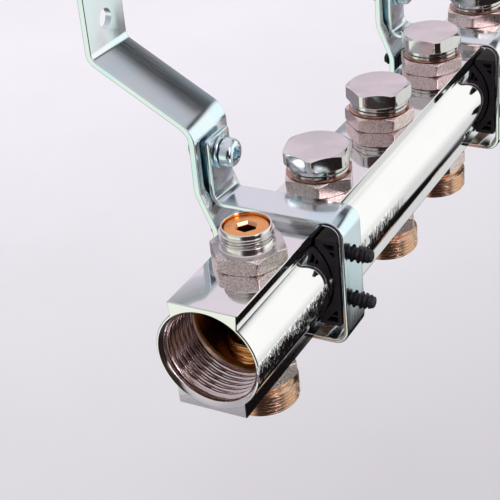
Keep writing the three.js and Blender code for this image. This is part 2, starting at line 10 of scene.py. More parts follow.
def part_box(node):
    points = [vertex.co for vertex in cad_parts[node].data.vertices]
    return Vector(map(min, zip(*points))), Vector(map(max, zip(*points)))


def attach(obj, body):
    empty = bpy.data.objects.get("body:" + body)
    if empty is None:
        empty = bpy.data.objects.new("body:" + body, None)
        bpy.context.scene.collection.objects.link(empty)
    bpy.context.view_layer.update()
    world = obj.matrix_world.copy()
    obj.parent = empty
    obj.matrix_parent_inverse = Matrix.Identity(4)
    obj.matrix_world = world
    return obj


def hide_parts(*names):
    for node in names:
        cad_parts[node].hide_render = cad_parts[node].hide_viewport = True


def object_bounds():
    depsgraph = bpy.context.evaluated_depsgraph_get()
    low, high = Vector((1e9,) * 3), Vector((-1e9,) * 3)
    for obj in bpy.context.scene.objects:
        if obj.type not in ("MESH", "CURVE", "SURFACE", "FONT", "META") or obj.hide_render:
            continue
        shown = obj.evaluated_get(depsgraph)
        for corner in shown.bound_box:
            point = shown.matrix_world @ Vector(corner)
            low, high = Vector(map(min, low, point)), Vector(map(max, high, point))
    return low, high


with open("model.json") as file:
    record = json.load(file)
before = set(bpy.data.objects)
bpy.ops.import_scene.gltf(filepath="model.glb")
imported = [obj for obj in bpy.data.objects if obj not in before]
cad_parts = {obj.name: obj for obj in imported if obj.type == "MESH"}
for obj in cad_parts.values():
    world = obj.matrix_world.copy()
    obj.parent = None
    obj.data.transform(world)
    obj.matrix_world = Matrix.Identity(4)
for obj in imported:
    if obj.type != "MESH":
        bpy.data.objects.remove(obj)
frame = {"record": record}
cad_lo, cad_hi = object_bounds()

RECORD = frame["record"]
BODY_OF = {n: b for b, nodes in RECORD["behaviour"]["bodies"].items() for n in nodes}

# ------------------------------------------------
# Places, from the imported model. Shapes are made in millimetres about the bar's near end.
# ------------------------------------------------

MM = 0.001
DEG = math.radians
bar_lo, bar_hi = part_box("manifold_bar")
NEAR_X = bar_lo.x
AXIS = Vector((NEAR_X, (bar_lo.y + bar_hi.y) / 2, (bar_lo.z + bar_hi.z) / 2))
LENGTH = (bar_hi.x - bar_lo.x) / MM


def centre_x(node):
    """A node's middle along the bar, in millimetres from its near end."""
    lo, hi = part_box(node)
    return ((lo.x + hi.x) / 2 - NEAR_X) / MM


def box_mm(node):
    """A node's box in millimetres about the near end of the bar's axis."""
    lo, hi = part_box(node)
    return (lo - AXIS) / MM, (hi - AXIS) / MM


CIRCUITS = [i for i in range(len(BODY_OF)) if f"valve_insert_{i}" in BODY_OF]
CIRCUIT_X = [centre_x(f"outlet_seal_{i}") for i in CIRCUITS]
SIDES = ("near", "far")
BRACKET_X = {s: centre_x(f"bracket_arm_{s}") for s in SIDES}

# ------------------------------------------------
# Mesh tools
# ------------------------------------------------

CORNER_CROWDING = 0.55
FLANK_SLOPE = 1.5


def smin(a, b, k):
    """The smaller of a and b, rounded over k where they cross."""
    h = np.maximum(k - np.abs(a - b), 0) / k
    return np.minimum(a, b) - h * h * k / 4


def smax(a, b, k):
    """The larger of a and b, rounded over k where they cross."""
    return -smin(-a, -b, k)


def hex_angles(corner, per_side=22):
    """Angles round a hexagon, closer together at its corners."""
    u = np.linspace(-1, 1, per_side, endpoint=False)
    d = DEG(30) * (CORNER_CROWDING * np.sin(np.pi / 2 * u) + (1 - CORNER_CROWDING) * u)
    return np.concatenate([corner + DEG(60 * k + 30) + d for k in range(6)])


def hex_radius(angles, flats, corner):
    """Radius of a hexagon that measures flats across its flats."""
    d = np.mod(angles - corner, np.pi / 3) - np.pi / 6
    return flats / 2 / np.cos(d)


def round_angles(n):
    return np.linspace(0, 2 * np.pi, n, endpoint=False)


def ring(angles, radius, z):
    """A ring of points about +Z."""
    r = np.broadcast_to(radius, angles.shape)
    return np.column_stack([r * np.cos(angles), r * np.sin(angles), np.full(angles.shape, z)])


def across(angles, radius, x):
    """A ring in the plane across the bar at x."""
    r = np.broadcast_to(radius, angles.shape)
    return np.column_stack([np.full(angles.shape, x), r * np.cos(angles), r * np.sin(angles)])


def thread_radius(angles, z, root, crest, pitch, z0, z1, fade):
    """Radius of a real helical thread at height z, fading out near z0 and z1."""
    phase = np.mod(z / pitch - angles / (2 * np.pi), 1.0)
    tooth = np.clip(0.5 + (0.5 - np.abs(2 * phase - 1)) * FLANK_SLOPE, 0, 1)
    tooth = tooth * tooth * (3 - 2 * tooth)
    run = min(1.0, max(0.0, (z - z0) / fade)) * min(1.0, max(0.0, (z1 - z) / fade))
    return root + (crest - root) * tooth * run


def loft(rings, closed=True, bands=None, caps=(0, 0)):
    """Faces between neighbouring rings. closed joins the last ring to the first."""
    n = len(rings[0])
    verts = np.concatenate(rings)
    faces, mats = [], []
    m = len(rings)
    for i in range(m if closed else m - 1):
        a, b = i * n, ((i + 1) % m) * n
        mat = bands[i] if bands else 0
        for k in range(n):
            k2 = (k + 1) % n
            faces.append((a + k, a + k2, b + k2, b + k))
            mats.append(mat)
    if not closed:
        faces.append(tuple(range(n - 1, -1, -1)))
        mats.append(caps[0])
        faces.append(tuple((m - 1) * n + k for k in range(n)))
        mats.append(caps[1])
    return verts, faces, mats


def turned(angles, rows, closed=True):
    """A shape of one material through rows of (radius, z)."""
    return loft([ring(angles, r, z) for r, z in rows], closed)


class Profile:
    """The rings of a shape, each with the material slot of the faces that follow it."""

    def __init__(self, angles, make_ring=ring):
        self.angles = angles
        self.make_ring = make_ring
        self.rings = []
        self.bands = []

    def add(self, radius, at, band):
        self.rings.append(self.make_ring(self.angles, radius, at))
        self.bands.append(band)

    def add_rows(self, band, *rows):
        for radius, at in rows:
            self.add(radius, at, band)

    def add_thread(self, band, steps, z_from, z_to, root, crest, pitch, fade):
        z0, z1 = sorted((z_from, z_to))
        for k in range(1, steps):
            z = z_from + (z_to - z_from) * k / steps
            self.add(thread_radius(self.angles, z, root, crest, pitch, z0, z1, fade), z, band)

    def add_rings(self, band, rings):
        self.rings += rings
        self.bands += [band] * len(rings)

    def loft(self, closed=True, caps=(0, 0)):
        return loft(self.rings, closed, self.bands, caps)


def joined(*parts):
    """Several shapes as one, side by side."""
    verts, faces, mats, base = [], [], [], 0
    for v, f, m in parts:
        verts.append(v)
        faces += [tuple(i + base for i in face) for face in f]
        mats += m
        base += len(v)
    return np.concatenate(verts), faces, mats


def raw_mesh(name, shape):
    """A mesh in bar millimetres with its faces pointing out."""
    verts, faces, mats = shape
    me = bpy.data.meshes.new(name)
    me.from_pydata([tuple(v) for v in verts], [], faces)
    me.polygons.foreach_set("material_index", mats)
    bm = bmesh.new()
    bm.from_mesh(me)
    bmesh.ops.remove_doubles(bm, verts=bm.verts, dist=1e-4)
    bmesh.ops.dissolve_degenerate(bm, dist=1e-5, edges=bm.edges)
    bmesh.ops.recalc_face_normals(bm, faces=bm.faces)
    bm.to_mesh(me)
    bm.free()
    return me


def boolean(me, other_shape, operation="DIFFERENCE"):
    """Cuts a closed mesh with another shape, or joins them, and returns the result."""
    a = bpy.data.objects.new("cut_a", me)
    b = bpy.data.objects.new("cut_b", raw_mesh("cutter", other_shape))
    bpy.context.scene.collection.objects.link(a)
    bpy.context.scene.collection.objects.link(b)
    mod = a.modifiers.new("cut", "BOOLEAN")
    mod.operation = operation
    mod.solver = "EXACT"
    mod.object = b
    dg = bpy.context.evaluated_depsgraph_get()
    out = bpy.data.meshes.new_from_object(a.evaluated_get(dg))
    bpy.data.objects.remove(a)
    bpy.data.objects.remove(b)
    return out


def finish_piece(name, me, node, materials, place=(0, 0, 0), angle=32):
    """Turns a mesh in bar millimetres into a piece that stands for a CAD node."""
    me.transform(Matrix.Translation(AXIS) @ Matrix.Scale(MM, 4) @ Matrix.Translation(place))
    for material in materials:
        me.materials.append(material)
    me.polygons.foreach_set("use_smooth", [True] * len(me.polygons))
    me.set_sharp_from_angle(angle=DEG(angle))
    me.name = name
    obj = bpy.data.objects.new(name, me)
    bpy.context.scene.collection.objects.link(obj)
    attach(obj, BODY_OF[node])
    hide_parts(node)


def piece(name, shape, node, materials, place=(0, 0, 0), angle=32):
    """A piece straight from a shape."""
    finish_piece(name, raw_mesh(name, shape), node, materials, place, angle)


# ------------------------------------------------
# Materials
# ------------------------------------------------


class Nodes:
    """A small helper that adds nodes and links them."""

    def __init__(self, tree):
        self.tree = tree
        tree.nodes.clear()

    def add(self, kind, **values):
        node = self.tree.nodes.new(kind)
        for key, value in values.items():
            setattr(node, key, value)
        return node

    def link(self, out, into):
        self.tree.links.new(out, into)

    def put(self, socket, value):
        if isinstance(value, bpy.types.NodeSocket):
            self.link(value, socket)
        else:
            socket.default_value = value

    def math(self, operation, a, b=0.0):
        node = self.add("ShaderNodeMath", operation=operation)
        self.put(node.inputs[0], a)
        self.put(node.inputs[1], b)
        return node.outputs[0]

    def remap(self, value, a, b, c, d, kind="LINEAR"):
        """The value moved from the range a..b to the range c..d, and kept inside it."""
        node = self.add("ShaderNodeMapRange", interpolation_type=kind)
        for i, v in enumerate((value, a, b, c, d)):
            self.put(node.inputs[i], v)
        return node.outputs[0]

    def mix(self, factor, a, b, blend="MIX"):
        node = self.add("ShaderNodeMix", data_type="RGBA", blend_type=blend)
        self.put(node.inputs[0], factor)
        self.put(node.inputs[6], a)
        self.put(node.inputs[7], b)
        return node.outputs[2]

    def coords(self, scale=(1, 1, 1), centre=(0, 0, 0), rotate=(0, 0, 0)):
        """Object coordinates in millimetres about centre, which is in metres."""
        tex = self.add("ShaderNodeTexCoord")
        shift = self.add("ShaderNodeVectorMath", operation="SUBTRACT")
        self.link(tex.outputs["Object"], shift.inputs[0])
        shift.inputs[1].default_value = centre
        mapping = self.add("ShaderNodeMapping")
        mapping.inputs["Scale"].default_value = tuple(1000 * s for s in scale)
        mapping.inputs["Rotation"].default_value = rotate
        self.link(shift.outputs[0], mapping.inputs["Vector"])
        return mapping.outputs[0]

    def noise(self, vector, scale, detail=3, rough=0.55, distortion=0.0):
        node = self.add("ShaderNodeTexNoise")
        self.link(vector, node.inputs["Vector"])
        node.inputs["Scale"].default_value = scale
        node.inputs["Detail"].default_value = detail
        node.inputs["Roughness"].default_value = rough
        node.inputs["Distortion"].default_value = distortion
        return node.outputs[0]

    def split(self, vector):
        """The X, Y and Z of a vector."""
        node = self.add("ShaderNodeSeparateXYZ")
        self.link(vector, node.inputs[0])
        return node.outputs

    def bump(self, height, distance_mm, strength, normal=None):
        node = self.add("ShaderNodeBump")
        node.inputs["Strength"].default_value = strength
        node.inputs["Distance"].default_value = distance_mm * MM
        self.link(height, node.inputs["Height"])
        if normal is not None:
            self.link(normal, node.inputs["Normal"])
        return node.outputs[0]


def shader(name, metallic=1.0):
    """A material with a Principled shader, and its node helper."""
    material = bpy.data.materials.new(name)
    material.use_nodes = True
    nodes = Nodes(material.node_tree)
    bsdf = nodes.add("ShaderNodeBsdfPrincipled")
    out = nodes.add("ShaderNodeOutputMaterial")
    nodes.link(bsdf.outputs[0], out.inputs[0])
    bsdf.inputs["Metallic"].default_value = metallic
    return material, nodes, bsdf


def rgb(r, g, b):
    return (r, g, b, 1.0)


def polished_bar():
    """Polished nickel with faint drawing lines along the bar and a rippled lower front."""
    material, n, bsdf = shader("polished_nickel")
    here = n.coords()
    along = n.coords(scale=(0.02, 1, 1))
    cloud = n.noise(here, 0.06, 3)
    colour = n.mix(cloud, rgb(0.86, 0.85, 0.83), rgb(0.80, 0.79, 0.79))
    lines = n.noise(along, 2.2, 4, 0.6)
    n.link(colour, bsdf.inputs["Base Color"])
    n.link(n.remap(lines, 0.3, 0.75, 0.035, 0.075), bsdf.inputs["Roughness"])
    peel = n.noise(here, 0.35, 2)
    smooth = n.bump(lines, 0.002, 0.7, n.bump(peel, 0.010, 0.6))
    # ripples low on the front, where the casting was only polished over, fading out along the bar
    x, y, z = n.split(n.coords(centre=tuple(AXIS)))
    low = n.remap(z, -6.5, -2.2, 0.0, 1.0, "SMOOTHSTEP")
    high = n.remap(z, 0.6, 3.0, 1.0, 0.0, "SMOOTHSTEP")
    front = n.remap(y, -15.0, -14.0, 1.0, 0.0)
    mask = n.math("MULTIPLY", n.math("MULTIPLY", low, high), front)
    mask = n.math("MULTIPLY", mask, n.remap(x, 55.0, 112.0, 1.0, 0.0))
    teeth = n.noise(n.coords(scale=(1.0, 0.16, 0.16), rotate=(0, 0.4, 0)), 0.54, 3, 0.6, 1.0)
    teeth = n.remap(teeth, 0.44, 0.66, 0.0, 1.0)
    rise = n.math("MULTIPLY", teeth, n.remap(z, -5.0, 2.5, 0.0, 1.0))
    rippled = n.bump(n.math("MULTIPLY", rise, mask), 1.5, 1.0, smooth)
    n.link(rippled, bsdf.inputs["Normal"])
    return material


def round_grain(nodes, bsdf, axis, amount):
    """Highlights drawn out across the turning marks of a piece centred on its axis."""
    tangent = nodes.add("ShaderNodeTangent", direction_type="RADIAL", axis=axis)
    nodes.link(tangent.outputs[0], bsdf.inputs["Tangent"])
    bsdf.inputs["Anisotropic"].default_value = amount
    bsdf.inputs["Anisotropic Rotation"].default_value = 0.25


def end_thread():
    """The plated thread inside the bar's ends."""
    material, n, bsdf = shader("end_thread_nickel")
    cloud = n.noise(n.coords(), 0.25, 3)
    n.link(n.mix(cloud, rgb(0.96, 0.86, 0.84), rgb(0.80, 0.67, 0.65)), bsdf.inputs["Base Color"])
    marks = n.noise(n.coords(scale=(6, 0.02, 0.02)), 1.0, 3)
    n.link(n.remap(marks, 0.3, 0.7, 0.13, 0.2), bsdf.inputs["Roughness"])
    n.link(n.bump(marks, 0.003, 0.5), bsdf.inputs["Normal"])
    round_grain(n, bsdf, "X", 0.6)
    return material


def mouth_chamfer():
    """The bright turned chamfer at the bar's mouths."""
    material, n, bsdf = shader("mouth_nickel")
    cloud = n.noise(n.coords(), 0.3, 3)
    n.link(n.mix(cloud, rgb(0.88, 0.86, 0.84), rgb(0.78, 0.76, 0.75)), bsdf.inputs["Base Color"])
    marks = n.noise(n.coords(scale=(9, 0.04, 0.04)), 1.0, 2)
    n.link(n.remap(marks, 0.3, 0.7, 0.06, 0.12), bsdf.inputs["Roughness"])
    n.link(n.bump(marks, 0.006, 0.6), bsdf.inputs["Normal"])
    return material


def bore_brass():
    """Unplated brass deep in the bore."""
    material, n, bsdf = shader("bore_brass")
    cloud = n.noise(n.coords(), 0.12, 4)
    n.link(n.mix(cloud, rgb(0.52, 0.30, 0.09), rgb(0.30, 0.14, 0.035)), bsdf.inputs["Base Color"])
    grain = n.noise(n.coords(scale=(3, 0.4, 0.4)), 1.2, 4)
    n.link(n.remap(grain, 0.3, 0.7, 0.24, 0.42), bsdf.inputs["Roughness"])
    n.link(n.bump(grain, 0.03, 0.6), bsdf.inputs["Normal"])
    return material


def blasted():
    """Bead-blasted nickel: warm grey with a sparkling grain, a random pink tone, and a painted pink
    reflection that grows farther along the bar.
    """
    material, n, bsdf = shader("blasted_nickel")
    cells_per_mm = 1 / 0.34
    here = n.coords()
    cells = n.add("ShaderNodeTexVoronoi", feature="F1")
    n.link(here, cells.inputs["Vector"])
    cells.inputs["Scale"].default_value = cells_per_mm
    cell_shade = n.add("ShaderNodeSeparateColor")
    n.link(cells.outputs["Color"], cell_shade.inputs[0])
    grain = n.noise(here, 0.8 * cells_per_mm, 3, 0.7)
    value = n.math("ADD", n.math("MULTIPLY", cell_shade.outputs[0], 0.55),
                   n.math("MULTIPLY", grain, 0.45))
    value = n.remap(value, 0.25, 0.75, 0.0, 1.0)
    warm_grey = n.mix(value, rgb(0.50, 0.40, 0.36), rgb(1.0, 0.93, 0.87))
    pink = n.mix(value, rgb(0.74, 0.56, 0.54), rgb(1.0, 0.82, 0.79))
    # a random pink tone, plus a painted pink reflection that is laid on more farther along the bar
    x, _, _ = n.split(n.coords(centre=tuple(AXIS)))
    pink_tone_and_painted_reflection = n.math("ADD", n.math("MULTIPLY", n.noise(here, 0.11, 3), 0.3),
                    n.remap(x, 45.0, 95.0, 0.0, 0.62))
    n.link(n.mix(pink_tone_and_painted_reflection, warm_grey, pink), bsdf.inputs["Base Color"])
    n.link(n.remap(grain, 0.3, 0.7, 0.22, 0.40), bsdf.inputs["Roughness"])
    height = n.math("SUBTRACT", grain, n.math("MULTIPLY", cells.outputs["Distance"], 0.5))
    n.link(n.bump(height, 0.06, 0.9), bsdf.inputs["Normal"])
    return material


def turned_metal(name, centre, light, dark, rough, pitch, depth, grain):
    """Lathe-turned metal: fine rings about a vertical axis through centre."""
    material, n, bsdf = shader(name)
    here = n.coords(centre=centre)
    x, y, z = n.split(here)
    flat = n.add("ShaderNodeCombineXYZ")
    n.link(x, flat.inputs[0])
    n.link(y, flat.inputs[1])
    length = n.add("ShaderNodeVectorMath", operation="LENGTH")
    n.link(flat.outputs[0], length.inputs[0])
    # rings on a flat face, and round a side
    line = n.add("ShaderNodeCombineXYZ")
    n.link(n.math("DIVIDE", n.math("ADD", length.outputs["Value"], z), pitch), line.inputs[0])
    rings = n.noise(line.outputs[0], 1.0, 2)
    wear = n.noise(here, 0.3, 4)
    n.link(n.mix(wear, light, dark), bsdf.inputs["Base Color"])
    n.link(n.remap(n.math("ADD", n.math("MULTIPLY", rings, 0.6), n.math("MULTIPLY", wear, 0.4)),
                   0.3, 0.7, rough[0], rough[1]), bsdf.inputs["Roughness"])
    n.link(n.bump(rings, depth, 0.8), bsdf.inputs["Normal"])
    if grain:
        round_grain(n, bsdf, "Z", grain)
    return material


def zinc(name):
    """Bright zinc on pressed steel, with a pale blue to brown bloom and rolling lines."""
    material, n, bsdf = shader(name)
    here = n.coords()
    bloom = n.noise(here, 0.045, 3, 0.5, 0.8)
    colour = n.mix(n.remap(bloom, 0.35, 0.65, 0.0, 1.0, "SMOOTHSTEP"),
                   rgb(0.68, 0.83, 0.87), rgb(0.78, 0.83, 0.84))
    speck = n.noise(here, 2.5, 3, 0.7)
    colour = n.mix(n.remap(speck, 0.62, 0.75, 0.0, 0.35), colour, rgb(0.42, 0.43, 0.46))
    n.link(colour, bsdf.inputs["Base Color"])
    rolled = n.noise(n.coords(scale=(3, 0.12, 0.12)), 0.9, 4)
    n.link(n.remap(rolled, 0.3, 0.7, 0.11, 0.19), bsdf.inputs["Roughness"])
    n.link(n.bump(n.math("ADD", rolled, n.math("MULTIPLY", speck, 0.6)), 0.008, 0.7),
           bsdf.inputs["Normal"])
    return material


def rubber():
    """Matt moulded rubber with dust and mould grain."""
    material, n, bsdf = shader("black_rubber", metallic=0.0)
    bsdf.inputs["Specular IOR Level"].default_value = 0.38
    here = n.coords()
    cloud = n.noise(here, 0.5, 4)
    n.link(n.mix(cloud, rgb(0.006, 0.005, 0.007), rgb(0.017, 0.014, 0.018)),
           bsdf.inputs["Base Color"])
    grain = n.noise(here, 4.0, 3, 0.7)
    n.link(n.remap(grain, 0.3, 0.7, 0.42, 0.62), bsdf.inputs["Roughness"])
    n.link(n.bump(grain, 0.03, 0.8), bsdf.inputs["Normal"])
    return material


POLISHED = polished_bar()
END_THREAD = end_thread()
BORE = bore_brass()
MOUTH = mouth_chamfer()
BLASTED = blasted()
ZINC = zinc("zinc_plate")
RUBBER = rubber()
NUT_ZINC = zinc("zinc_fastener")

# ------------------------------------------------
# The bar
# ------------------------------------------------

BAR_R = 17.3
BLOCK_Y = 11.6
BLOCK_Z = 18.1
JUNCTION_Y = 11.1
BORE_R = 14.6
EDGE = 0.28

# the block's sides: how far they lean towards the tube, and the wave left in them by polishing
TOP_LEAN, BOTTOM_LEAN = 0.10, 0.012
TOP_WAVE, BOTTOM_WAVE = 0.09, 0.012
WAVE_START, WAVE_LENGTH = 13.3, 4.8

THREAD_START, THREAD_PITCH, THREAD_TURNS = 2.5, 2.31, 7.0
THREAD_ROOT_R, THREAD_CREST_R, THREAD_ENTRY_R = 16.1, 15.05, 15.2
RINGS_PER_TURN = 18

SKIN, END_THREAD_SLOT, BORE_SLOT, MOUTH_SLOT = range(4)


def bar_outline(angles, shrink=0.0):
    """Radius of the bar's section, in the plane across its axis (angle 0 is +Y)."""
    c, s = np.abs(np.cos(angles)), np.abs(np.sin(angles))
    upper = np.sin(angles) > 0
    lean = np.where(upper, TOP_LEAN, BOTTOM_LEAN)
    flat_side = (BLOCK_Y - shrink - lean * BLOCK_Z) / np.maximum(c - lean * s, 1e-6)
    wave = 2 * math.pi * (flat_side * s - WAVE_START) / WAVE_LENGTH
    swell = np.where(upper, TOP_WAVE, BOTTOM_WAVE) * WAVE_LENGTH / (2 * math.pi) * np.sin(wave)
    flat_side = flat_side + np.where(np.abs(wave - math.pi) < math.pi, swell, 0.0)
    flat_top = (BLOCK_Z - shrink) / np.maximum(s, 1e-6)
    return smax(smin(flat_side, flat_top, 0.55), BAR_R - shrink, 0.25)


def bar_angles():
    """Angles round the section, closer together at the block's corners, sides and feet."""
    corner = math.atan2(BLOCK_Z, BLOCK_Y)
    junction = math.acos(JUNCTION_Y / BAR_R)
    even = [a for a in np.radians(np.arange(0, 90, 3.0))
            if abs(a - corner) > DEG(2.6) and not DEG(48.2) < a < DEG(55)]
    at_corner = [corner + DEG(d) for d in np.arange(-2.4, 2.41, 0.3)]
    at_junction = [junction + DEG(d) for d in np.arange(-1.6, 1.61, 0.4)]
    on_side = [DEG(d) for d in np.arange(52.2, 54.8, 0.45)]
    quarter = sorted(set(even + at_corner + at_junction + on_side))
    quarter = np.array([a for a in quarter if 0 < a < math.pi / 2])
    return np.concatenate([
        [0], quarter, [math.pi / 2], (math.pi - quarter)[::-1],
        [math.pi], math.pi + quarter, [1.5 * math.pi], (2 * math.pi - quarter)[::-1],
    ])


def bar_shape():
    """Near mouth, bore, far mouth and outside, as one closed loft along the bar."""
    a = bar_angles()
    mouth = Profile(a, across)
    mouth.add_rows(SKIN, (bar_outline(a), EDGE), (bar_outline(a, EDGE), 0.0), (16.62, 0.0))
    mouth.add_rows(MOUTH_SLOT, (16.5, 0.08), (15.45, 1.25), (15.36, 1.42))
    mouth.add(15.32, THREAD_START, END_THREAD_SLOT)
    end = THREAD_START + THREAD_PITCH * THREAD_TURNS
    steps = int(THREAD_TURNS * RINGS_PER_TURN)
    for i in range(1, steps):
        x = THREAD_START + (end - THREAD_START) * i / steps
        r = thread_radius(a, x, THREAD_ROOT_R, THREAD_CREST_R, THREAD_PITCH, THREAD_START, end, 1.2)
        run = min(1.0, (x - THREAD_START) / 1.0) * min(1.0, (end - x) / 1.6)
        mouth.add(THREAD_ENTRY_R + (r - THREAD_ENTRY_R) * run, x, END_THREAD_SLOT)
    mouth.add_rows(BORE_SLOT, (15.1, end + 0.2), (14.7, end + 0.9), (BORE_R, end + 1.3))

    far_mouth = []
    for near_ring in mouth.rings[::-1]:
        mirrored = near_ring.copy()
        mirrored[:, 0] = LENGTH - mirrored[:, 0]
        far_mouth.append(mirrored)
    bore = [across(a, BORE_R, x) for x in np.linspace(end + 12, LENGTH - end - 12, 9)]
    outside = [across(a, bar_outline(a), x) for x in np.linspace(LENGTH - 8, 8, 12)]
    bands = mouth.bands[:-1] + [BORE_SLOT] * (len(bore) + 1) + mouth.bands[::-1][1:]
    bands += [SKIN] * (len(outside) + 1)
    return loft(mouth.rings + bore + far_mouth + outside, bands=bands)


def hole_z(radius, z0, z1, x):
    """A cutter along Z at x along the bar."""
    v, f, m = turned(round_angles(48), [(radius, z0), (radius, z1)], closed=False)
    return v + np.array([x, 0.0, 0.0]), f, m


top_holes = [hole_z(8.5, 4, 25, x) for x in CIRCUIT_X]
bottom_holes = [hole_z(9.5, -25, -4, x) for x in CIRCUIT_X]
bar_mesh = boolean(raw_mesh("bar", bar_shape()), joined(*top_holes, *bottom_holes))
finish_piece("bar", bar_mesh, "manifold_bar", [POLISHED, END_THREAD, BORE, MOUTH], angle=30)

# ------------------------------------------------
# The circuits. Each hexagon is turned as it was tightened, so its corner angle is its own.
# ------------------------------------------------

TOP_CORNER = [DEG(v) for v in (40, 23.5, 47, 30, 12)]
CAP_CORNER = [DEG(v) for v in (0, 12, 51, 33, 20)]
OUTLET_CORNER = [DEG(v) for v in (41, 8, 27, 52, 16)]
KEY_CORNER = [DEG(v) for v in (20, 50, 5, 35, 15)]

HEX_FLATS, HEX_FACE_R, HEX_CORNER_R = 21.5, 11.0, 12.3
INSERT_HEX = (23.4, 18.2)
OUTLET_HEX = (-18.42, -24.0)
WELL_FLOOR = 18.3
STUB_END = -15.6
CAP_FLATS, CAP_CORNER_R, CAP_CEILING = 20.8, 11.5, 30.8
KEY_FLATS = 5.0
O_RING_Z = 16.85

# material slots of inserts and outlets, of spindles, of caps and of collars
GRAINED, TURNED, MACHINED, BRASS = range(4)
HEAD, SOCKET, SINK = range(3)
SIDE, FACE = range(2)
FLARE, UPPER_RING = range(2)


def hex_rings(angles, flats, corner, z_from, z_to, face_r, corner_r, steps=7):
    """Rings of a hexagon whose corners are turned off by a shallow cone at both faces."""
    slope = 0.58
    rings = []
    height = abs(z_to - z_from)
    sign = 1 if z_to > z_from else -1
    depth = (corner_r - face_r) * slope
    levels = list(np.linspace(0, depth * 1.25, steps)) + [height / 2]
    levels += [height - d for d in levels[:-1]][::-1]
    for d in levels:
        cone = face_r + min(d, height - d) / slope
        r = smin(hex_radius(angles, flats, corner), corner_r, 0.25)
        rings.append(ring(angles, smin(r, cone, 0.2), z_from + sign * d))
    return rings


def insert_shape(i):
    """A valve insert: up through its bore and well, over the rim, and down its outside."""
    corner = TOP_CORNER[i]
    lo, hi = box_mm(f"valve_insert_{i}")
    top, bottom = hi.z, lo.z
    shape = Profile(hex_angles(corner))
    shape.add(3.9, bottom, TURNED)
    shape.add_rows(BRASS, (3.9, WELL_FLOOR), (7.2, WELL_FLOOR), (7.2, top - 0.5))
    shape.add_rows(TURNED, (7.28, top - 0.12), (7.38, top), (7.58, top), (7.76, top - 0.06),
                   (7.83, top - 0.2), (7.85, top - 1.25), (7.75, top - 1.35))
    shape.add_thread(TURNED, 54, top - 1.4, top - 4.3, 7.85, 8.5, 0.95, 0.3)
    shape.add_rows(TURNED, (8.2, top - 4.4), (8.3, top - 4.6), (8.3, 24.0), (8.42, 23.65))
    shape.add(8.7, 23.45, MACHINED)
    shape.add_rings(GRAINED, hex_rings(shape.angles, HEX_FLATS, corner, *INSERT_HEX,
                                       HEX_FACE_R, HEX_CORNER_R))
    shape.add(8.4, 18.2, MACHINED)
    shape.add_rows(TURNED, (8.2, 18.15), (8.2, 17.8), (7.2, 17.75), (7.2, 15.95), (8.2, 15.9),
                   (8.2, bottom + 0.3), (7.9, bottom))
    return shape.loft()


def torus(radius, section, z):
    """An O-ring."""
    rows = [(radius + section * math.cos(t), z + section * math.sin(t)) for t in round_angles(12)]
    return turned(round_angles(64), rows)


def spindle_shape(i):
    """A spindle: up its hexagon socket, over the head, and down the stem."""
    lo, hi = box_mm(f"spindle_{i}")
    top, bottom = hi.z, lo.z
    shape = Profile(hex_angles(KEY_CORNER[i], 12))
    key = hex_radius(shape.angles, KEY_FLATS, KEY_CORNER[i])
    shape.add_rows(SOCKET, (key * 0.55, top - 4.45), (key, top - 4.4), (key, top - 1.2))
    shape.add_rows(SINK, (key * 1.02, top - 1.0), (key * 1.22, top - 0.08))
    shape.add_rows(HEAD, (key * 1.25, top), (6.6, top), (6.78, top - 0.05), (6.88, top - 0.2),
                   (6.88, top - 5.1), (6.7, top - 5.25), (3.6, top - 5.25), (3.5, top - 5.4),
                   (3.5, bottom + 0.3), (3.2, bottom))
    return shape.loft(closed=False, caps=(SOCKET, HEAD))


def disc_shape(i):
    """The rubber disc under a spindle."""
    lo, hi = box_mm(f"valve_disc_{i}")
    r = (hi.x - lo.x) / 2 - 0.02
    rows = [(r - 0.4, lo.z), (r - 0.1, lo.z + 0.1), (r, lo.z + 0.4), (r, hi.z - 0.4),
            (r - 0.1, hi.z - 0.1), (r - 0.4, hi.z)]
    return turned(round_angles(64), rows, closed=False)


def cap_shape(i):
    """A cap: from the middle of its top, down its hexagon and skirt, and up inside."""
    corner = CAP_CORNER[i]
    lo, hi = box_mm(f"cap_{i}")
    top, bottom = hi.z, lo.z
    shape = Profile(hex_angles(corner))
    hexagon = smin(hex_radius(shape.angles, CAP_FLATS, corner), CAP_CORNER_R, 0.1)
    shape.add(9.95, top, FACE)
    shape.add(10.15, top - 0.03, SIDE)
    for d in (0.1, 0.16, 0.24, 0.32, 0.4, 0.5, 0.6, 0.75):
        shape.add(smin(hexagon, 10.25 + (d - 0.1) / 0.5, 0.08), top - d, SIDE)
    hex_foot = bottom + 1.35
    for d in (3.0, 0.75, 0.55, 0.4, 0.28, 0.16, 0.05):
        shape.add(smin(hexagon, 10.3 + d / 0.56, 0.08), hex_foot + d, SIDE)
    shape.add_rows(SIDE, (10.05, hex_foot - 0.05), (9.95, hex_foot - 0.2), (9.95, bottom + 0.15),
                   (9.85, bottom), (9.0, bottom), (8.95, bottom), (8.95, CAP_CEILING),
                   (0.4, CAP_CEILING))
    return shape.loft(closed=False, caps=(FACE, SIDE))


def collar_shape(i):
    """The ring under a cap: a nickel upper ring, a groove and a copper flare."""
    lo, hi = box_mm(f"cap_collar_{i}")
    bottom, top = lo.z, hi.z
    shape = Profile(round_angles(120))
    shape.add(8.95, bottom, FLARE)
    shape.add_rows(UPPER_RING, (8.95, top), (9.85, top), (10.05, top - 0.08), (10.05, top - 0.85))
    shape.add_rows(FLARE, (9.9, top - 1.0), (9.35, top - 1.05), (9.35, top - 1.2),
                   (9.5, top - 1.4), (9.85, bottom + 0.5), (10.45, bottom + 0.22),
                   (10.75, bottom + 0.1), (10.75, bottom))
    return shape.loft()


